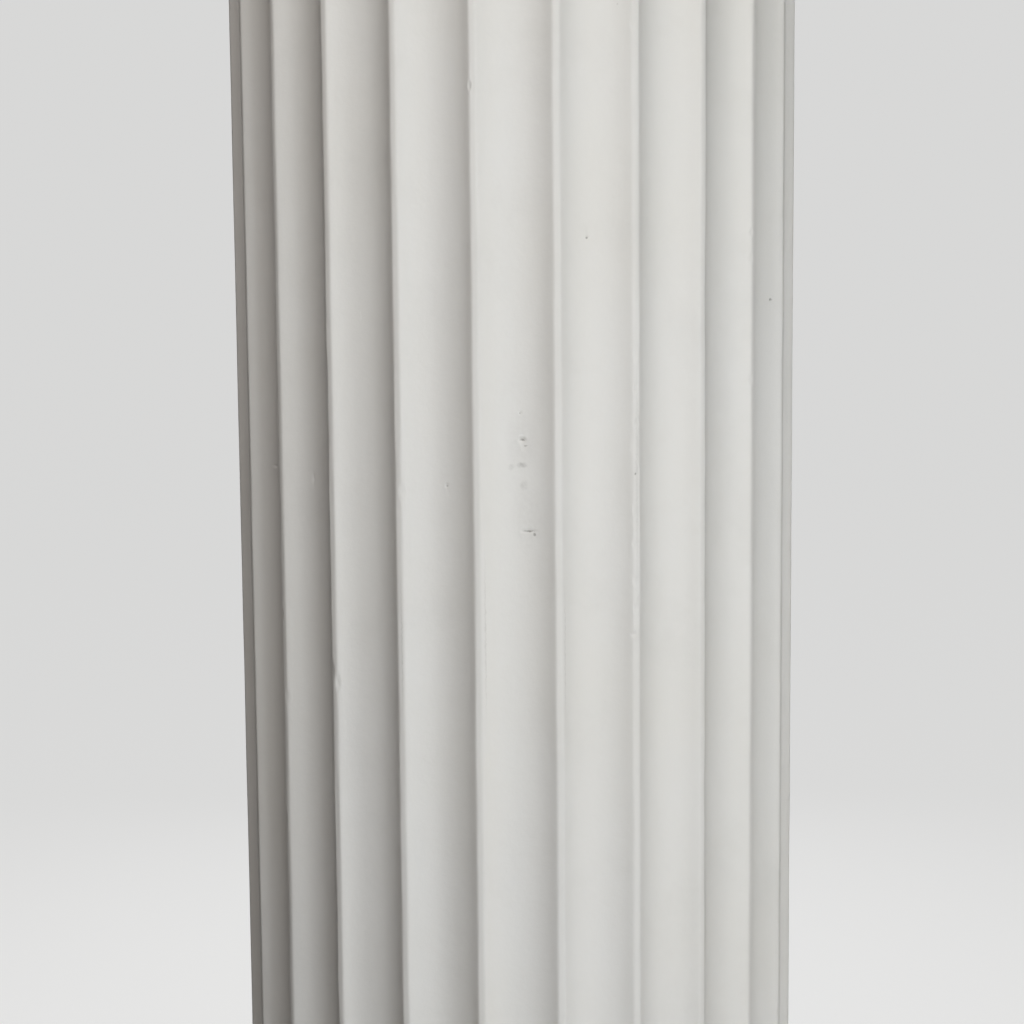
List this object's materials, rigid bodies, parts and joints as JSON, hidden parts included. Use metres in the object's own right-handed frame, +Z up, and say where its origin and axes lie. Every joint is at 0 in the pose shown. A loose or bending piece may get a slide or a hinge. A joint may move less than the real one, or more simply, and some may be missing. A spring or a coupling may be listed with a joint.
{
  "type": "fluted column display plinth",
  "caption": "Fluted column pedestal with a square base, moulded foot and square lift-off top, for showing a bust or vessel",
  "frame": {"origin": "centre of the footprint, on the floor under the levelling feet", "axes": "+Z up along the column's axis; the front half of the shaft faces -Y, its seams are at -X and +X"},
  "size_m": [0.4, 0.4, 1.094],
  "materials": {
    "painted_plaster": "matt white emulsion paint over cast plaster, with pinholes and small nicks",
    "birch_plywood": "sanded birch plywood",
    "softwood": "planed softwood",
    "zinc_steel": "bright zinc plate",
    "cast_ballast": "raw casting, black",
    "felt": "grey wool felt",
    "black_nylon": "moulded nylon",
    "black_rubber": "moulded rubber"
  },
  "bodies": {
    "root": {"plinth_block": "painted_plaster", "base_moulding": "painted_plaster", "shaft_front": "painted_plaster", "shaft_back": "painted_plaster", "necking_ring": "painted_plaster", "capital_moulding": "painted_plaster", "base_board": "birch_plywood", "lower_spigot": "birch_plywood", "upper_spigot": "birch_plywood", "top_board": "birch_plywood", "bearer_front": "softwood", "bearer_back": "softwood", "bearer_left": "softwood", "bearer_right": "softwood", "seam_batten_left": "softwood", "seam_batten_right": "softwood", "base_dowels": "softwood", "top_dowels": "softwood", "board_screws": "zinc_steel", "tie_rod": "zinc_steel", "lower_tie_nut": "zinc_steel", "lower_tie_washer": "zinc_steel", "coupling_nut": "zinc_steel", "upper_tie_washer": "zinc_steel", "tee_nuts": "zinc_steel", "ballast_plate_1": "cast_ballast", "ballast_plate_2": "cast_ballast", "ballast_plate_3": "cast_ballast", "felt_pads": "felt"},
    "top": {"abacus": "painted_plaster"},
    "foot_1_pad": {"foot_pad_1": "black_nylon", "foot_sole_1": "black_rubber"},
    "foot_1_stud": {"foot_stud_1": "zinc_steel"},
    "foot_2_pad": {"foot_pad_2": "black_nylon", "foot_sole_2": "black_rubber"},
    "foot_2_stud": {"foot_stud_2": "zinc_steel"},
    "foot_3_pad": {"foot_pad_3": "black_nylon", "foot_sole_3": "black_rubber"},
    "foot_3_stud": {"foot_stud_3": "zinc_steel"},
    "foot_4_pad": {"foot_pad_4": "black_nylon", "foot_sole_4": "black_rubber"},
    "foot_4_stud": {"foot_stud_4": "zinc_steel"}
  },
  "joints": [
    {"name": "top_lift", "type": "slide", "parent": "root", "child": "top", "axis": [0, 0, 1], "range_m": [0, 0.06]},
    {"name": "foot_1_travel", "type": "slide", "parent": "root", "child": "foot_1_pad", "axis": [0, 0, -1], "range_m": [-0.0042, 0.0125]},
    {"name": "foot_1_turn", "type": "hinge", "parent": "foot_1_pad", "child": "foot_1_stud", "pos_m": [0.13, 0.13, 0.01], "axis": [0, 0, -1], "range_deg": [-960, 2880]},
    {"name": "foot_2_travel", "type": "slide", "parent": "root", "child": "foot_2_pad", "axis": [0, 0, -1], "range_m": [-0.0042, 0.0125]},
    {"name": "foot_2_turn", "type": "hinge", "parent": "foot_2_pad", "child": "foot_2_stud", "pos_m": [-0.13, 0.13, 0.01], "axis": [0, 0, -1], "range_deg": [-960, 2880]},
    {"name": "foot_3_travel", "type": "slide", "parent": "root", "child": "foot_3_pad", "axis": [0, 0, -1], "range_m": [-0.0042, 0.0125]},
    {"name": "foot_3_turn", "type": "hinge", "parent": "foot_3_pad", "child": "foot_3_stud", "pos_m": [-0.13, -0.13, 0.01], "axis": [0, 0, -1], "range_deg": [-960, 2880]},
    {"name": "foot_4_travel", "type": "slide", "parent": "root", "child": "foot_4_pad", "axis": [0, 0, -1], "range_m": [-0.0042, 0.0125]},
    {"name": "foot_4_turn", "type": "hinge", "parent": "foot_4_pad", "child": "foot_4_stud", "pos_m": [0.13, -0.13, 0.01], "axis": [0, 0, -1], "range_deg": [-960, 2880]}
  ],
  "couplings": [
    {"joint": "foot_1_travel", "follows": "foot_1_turn", "m_per_rad": 0.00023873},
    {"joint": "foot_2_travel", "follows": "foot_2_turn", "m_per_rad": 0.00023873},
    {"joint": "foot_3_travel", "follows": "foot_3_turn", "m_per_rad": 0.00023873},
    {"joint": "foot_4_travel", "follows": "foot_4_turn", "m_per_rad": 0.00023873}
  ]
}
